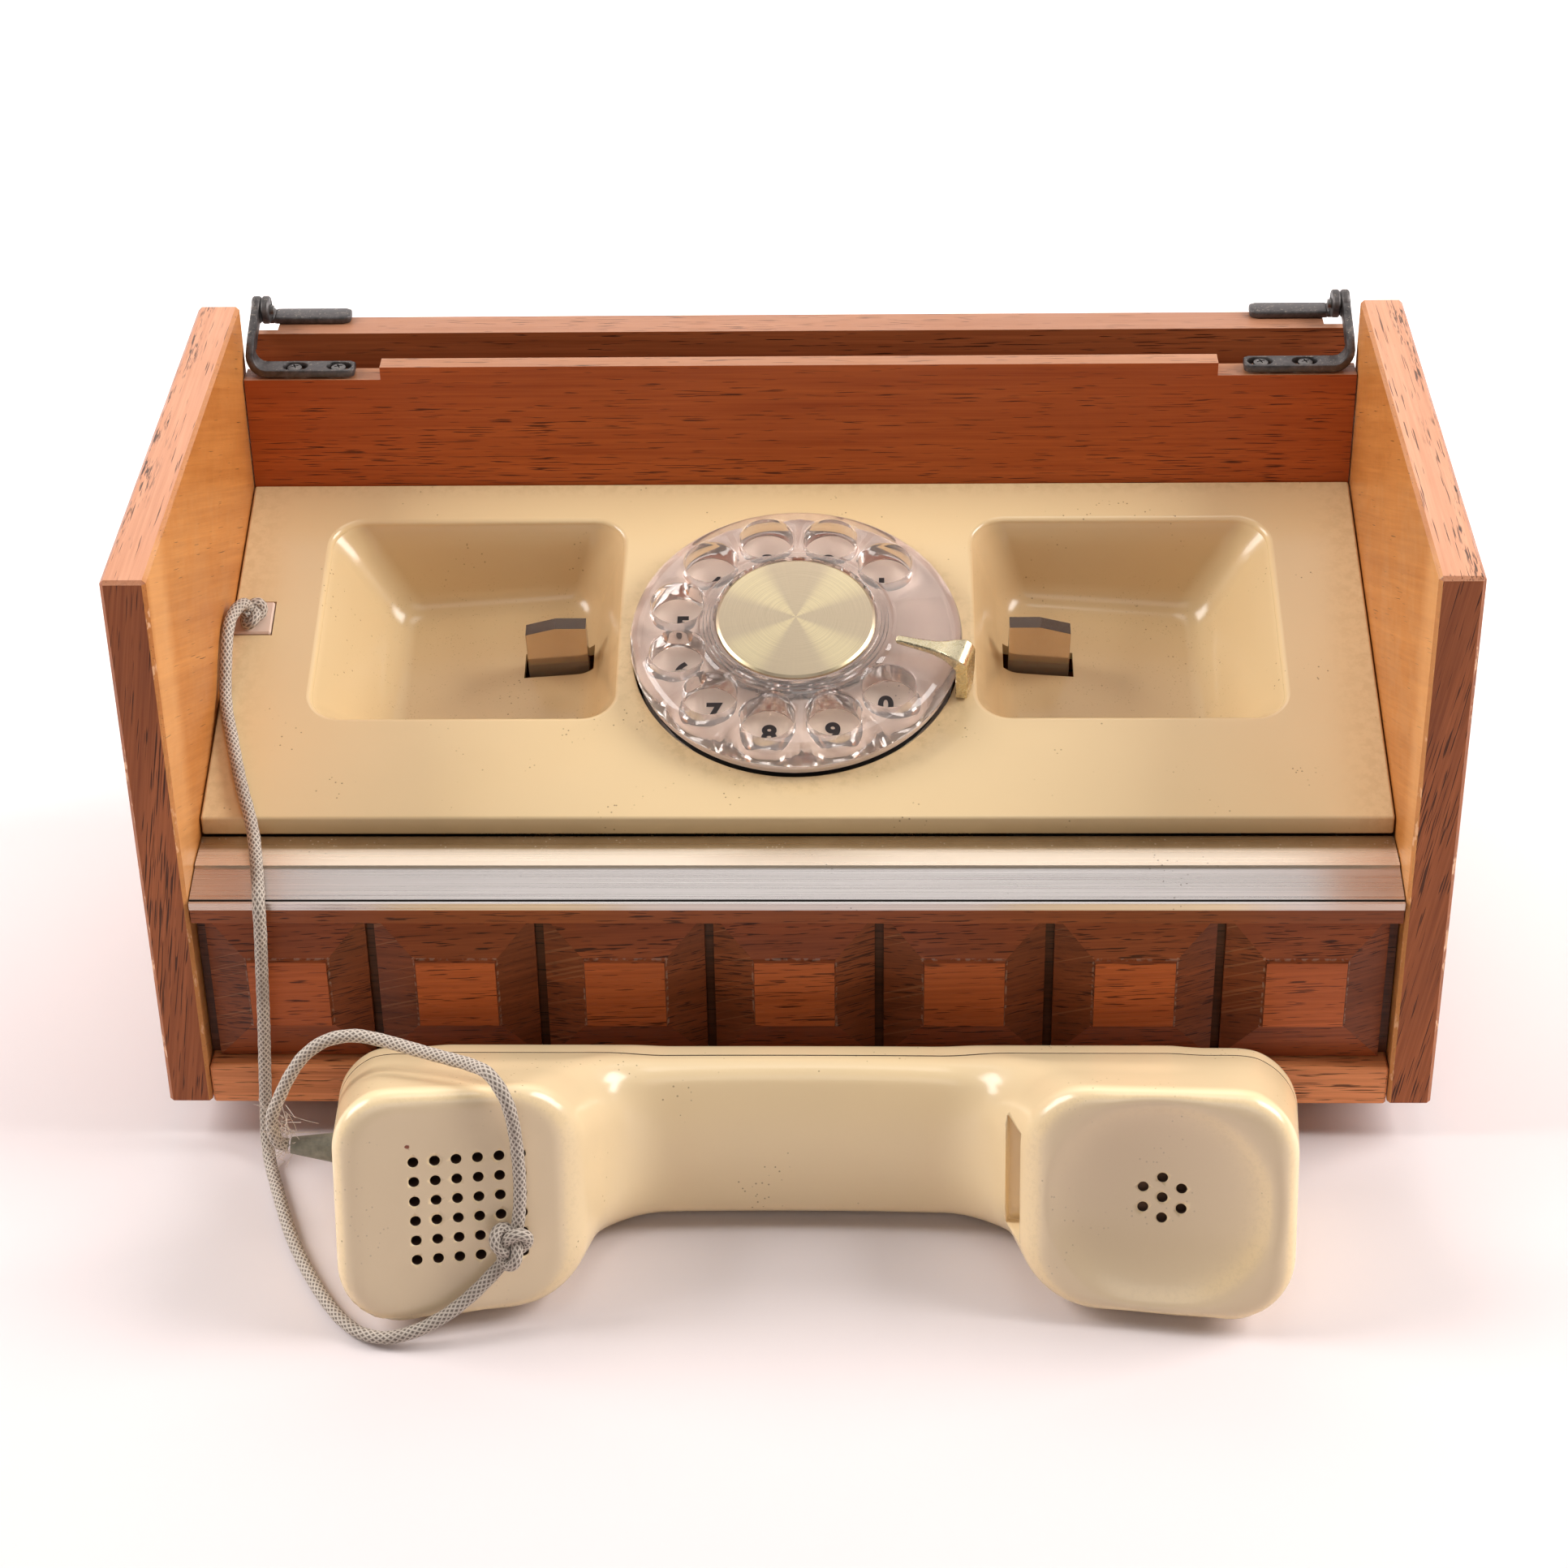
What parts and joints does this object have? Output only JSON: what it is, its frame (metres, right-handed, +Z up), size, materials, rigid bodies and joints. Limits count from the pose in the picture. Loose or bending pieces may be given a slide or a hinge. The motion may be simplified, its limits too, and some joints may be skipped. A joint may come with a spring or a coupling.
{
  "type": "rotary telephone",
  "caption": "Wood-cased desk telephone with a rotary dial on a sloping cream faceplate, a cream handset on a braided cord, and a block-fronted lid folded back behind it.",
  "frame": {"origin": "on the table, below the middle of the object's outline measured without its cord", "axes": "+X to the right of a person facing the dial, -Y towards that person, +Z up"},
  "size_m": [0.284, 0.2775, 0.1475],
  "materials": {
    "oak": "red-brown oak, satin varnish, worn",
    "oak_dark": "dark red-brown oak",
    "ivory": "aged cream plastic, lightly grimy",
    "clear": "clear plastic with a lilac cast",
    "smoky": "smoky clear plastic",
    "aluminium": "brushed, dusty",
    "gold": "brushed champagne gold",
    "black_steel": "black, worn at the edges",
    "steel": "plain",
    "brass": "plain",
    "rubber": "matte",
    "grey_rubber": "grey-green, matte",
    "braid": "woven grey braid"
  },
  "bodies": {
    "cabinet": {"side_panel_left": "oak", "side_panel_right": "oak", "back_panel": "oak", "base_board": "oak", "front_rail_bottom": "oak", "raised_block_1": "oak", "raised_block_2": "oak", "raised_block_3": "oak", "raised_block_4": "oak", "raised_block_5": "oak", "raised_block_6": "oak", "raised_block_7": "oak", "front_rail_top": "oak_dark", "block_backing_board": "oak_dark", "ringer_coil": "oak_dark", "faceplate": "ivory", "cord_insert": "ivory", "number_plate": "ivory", "metal_trim": "aluminium", "finger_stop": "gold", "hinge_bracket_left": "black_steel", "hinge_bracket_right": "black_steel", "hinge_pin_left": "steel", "hinge_pin_right": "steel", "dial_housing": "steel", "network_block": "steel", "switch_contacts": "brass", "gong_left": "brass", "gong_right": "brass", "rubber_foot_1": "rubber", "rubber_foot_2": "rubber", "rubber_foot_3": "rubber", "rubber_foot_4": "rubber", "cord": "braid"},
    "lid": {"lid_top_board": "oak", "lid_front_board": "oak", "lid_block_row_lower": "oak", "lid_block_row_upper": "oak", "lid_bracket_left": "black_steel", "lid_bracket_right": "black_steel"},
    "dial": {"finger_wheel": "clear", "dial_cap": "gold", "dial_shaft": "steel", "main_gear": "brass"},
    "governor": {"governor_rotor": "brass"},
    "hookswitch_bar": {"hook_bar": "steel"},
    "plunger_left": {"plunger_left": "smoky"},
    "plunger_right": {"plunger_right": "smoky"},
    "handset": {"handset_front_shell": "ivory", "handset_back_shell": "ivory", "transmitter_capsule": "steel", "receiver_capsule": "steel", "strain_relief": "grey_rubber"},
    "clapper": {"bell_clapper": "brass"}
  },
  "joints": [
    {"name": "lid_hinge", "type": "hinge", "parent": "cabinet", "child": "lid", "pos_m": [0, 0.0678, 0.14], "axis": [1, 0, 0], "range_deg": [0, 270]},
    {"name": "dial_spin", "type": "hinge", "parent": "cabinet", "child": "dial", "pos_m": [0, -0.0029, 0.08712], "axis": [0, 0.274, -0.9617], "range_deg": [0, 330], "stiffness_Nm_per_rad": 0.01},
    {"name": "governor_spin", "type": "hinge", "parent": "cabinet", "child": "governor", "pos_m": [0.0242, -0.0029, 0.08712], "axis": [0, 0.274, -0.9617], "range_deg": [-1320, 0]},
    {"name": "hookswitch_travel", "type": "slide", "parent": "cabinet", "child": "hookswitch_bar", "axis": [0, 0.274, -0.9617], "range_m": [0, 0.0055], "stiffness_N_per_m": 120},
    {"name": "plunger_left_travel", "type": "slide", "parent": "cabinet", "child": "plunger_left", "axis": [0, 0.274, -0.9617], "range_m": [0, 0.0055]},
    {"name": "plunger_right_travel", "type": "slide", "parent": "cabinet", "child": "plunger_right", "axis": [0, 0.274, -0.9617], "range_m": [0, 0.0055]},
    {"name": "handset_lift", "type": "slide", "parent": "cabinet", "child": "handset", "axis": [0, 0, 1], "range_m": [0, 0.05], "deforming": ["cord"]},
    {"name": "clapper_swing", "type": "hinge", "parent": "cabinet", "child": "clapper", "pos_m": [-0.036, 0.0188, 0.026], "axis": [0, 0, 1], "range_deg": [-9, 9]}
  ],
  "couplings": [
    {"joint": "governor_spin", "follows": "dial_spin", "ratio": -4},
    {"joint": "plunger_left_travel", "follows": "hookswitch_travel", "ratio": 1},
    {"joint": "plunger_right_travel", "follows": "hookswitch_travel", "ratio": 1}
  ]
}
